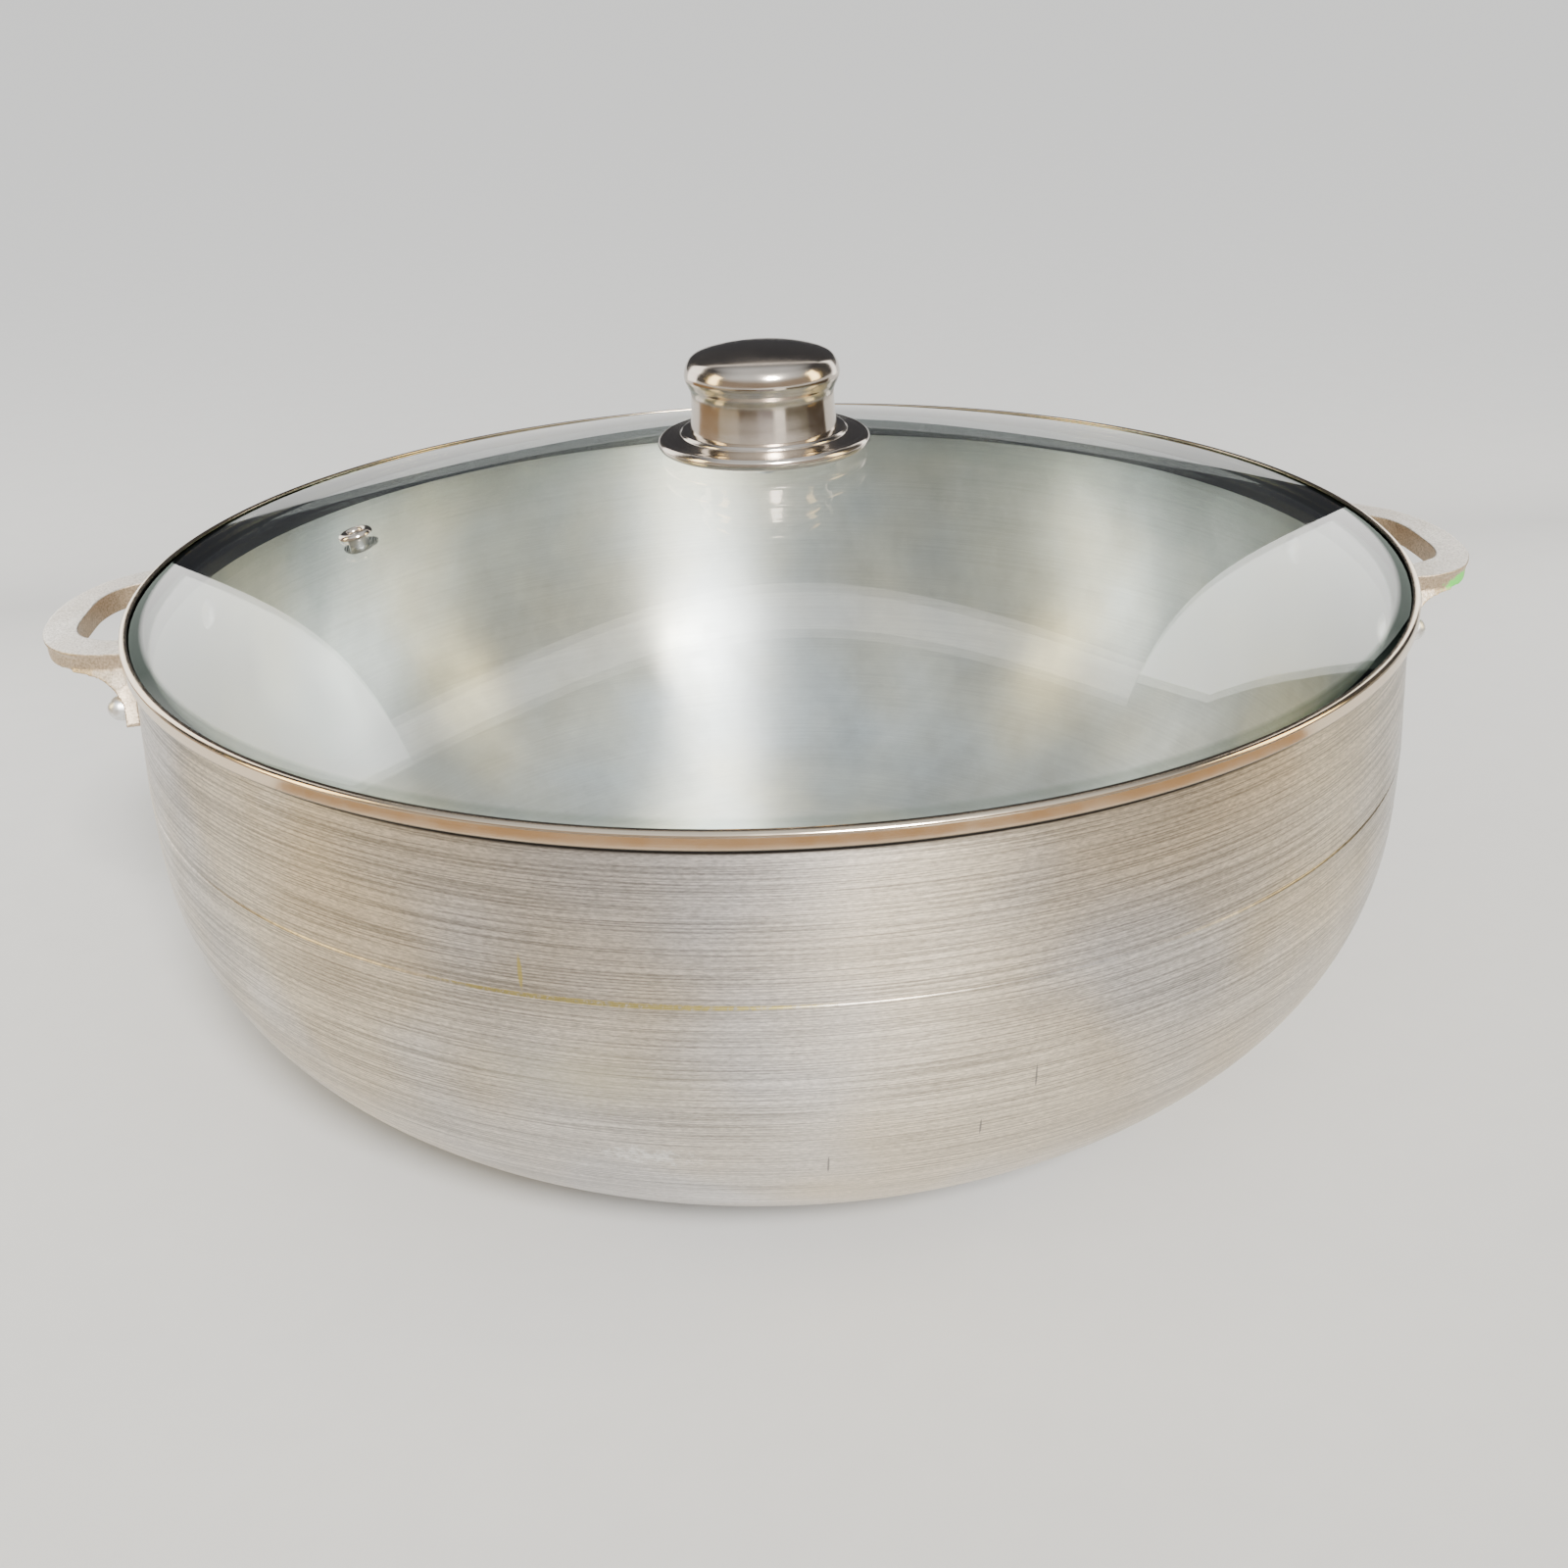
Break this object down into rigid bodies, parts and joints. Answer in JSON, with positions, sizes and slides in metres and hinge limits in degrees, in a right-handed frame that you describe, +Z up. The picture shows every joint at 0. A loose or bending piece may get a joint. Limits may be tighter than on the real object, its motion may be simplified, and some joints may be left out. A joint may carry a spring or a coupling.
{
  "type": "casserole with glass lid",
  "caption": "Wide round aluminium casserole with loop handles and a domed glass lid with a steel band, steam vent and knob.",
  "frame": {"origin": "centre of the pot's flat underside, on the surface it stands on", "axes": "+Z up along the pot's axis; +X through the middle of one handle, -X through the other"},
  "size_m": [0.4566, 0.4, 0.2152],
  "materials": {
    "turned_aluminium": "satin, fine turning lines around the outside",
    "cast_aluminium": "sand-cast, fine grain",
    "rivet_aluminium": "smooth",
    "lid_glass": "clear, slightly green at the edge",
    "polished_steel": "polished stainless steel",
    "band_steel": "rolled stainless strip, half polished",
    "silicone": "translucent white silicone",
    "phenolic": "moulded",
    "brass": "machined",
    "screw_steel": "plain stainless steel"
  },
  "bodies": {
    "pot": {"pot_body": "turned_aluminium", "handle_left": "cast_aluminium", "handle_right": "cast_aluminium", "handle_rivets_left": "rivet_aluminium", "handle_rivets_right": "rivet_aluminium"},
    "lid": {"lid_glass": "lid_glass", "lid_rim_band": "band_steel", "vent_eyelet": "polished_steel", "vent_washer": "screw_steel", "knob_upper_gasket": "silicone", "knob_lower_gasket": "silicone", "knob_screw_washer": "screw_steel", "knob_screw": "screw_steel"},
    "knob": {"knob_cap": "polished_steel", "knob_core": "phenolic", "knob_insert": "brass", "knob_flange": "polished_steel"}
  },
  "joints": [
    {"name": "lid_lift", "type": "slide", "parent": "pot", "child": "lid", "axis": [0, 0, 1], "range_m": [0, 0.15]},
    {"name": "knob_turn", "type": "hinge", "parent": "lid", "child": "knob", "pos_m": [0, 0, 0.2], "axis": [0, 0, 1], "continuous": true}
  ]
}
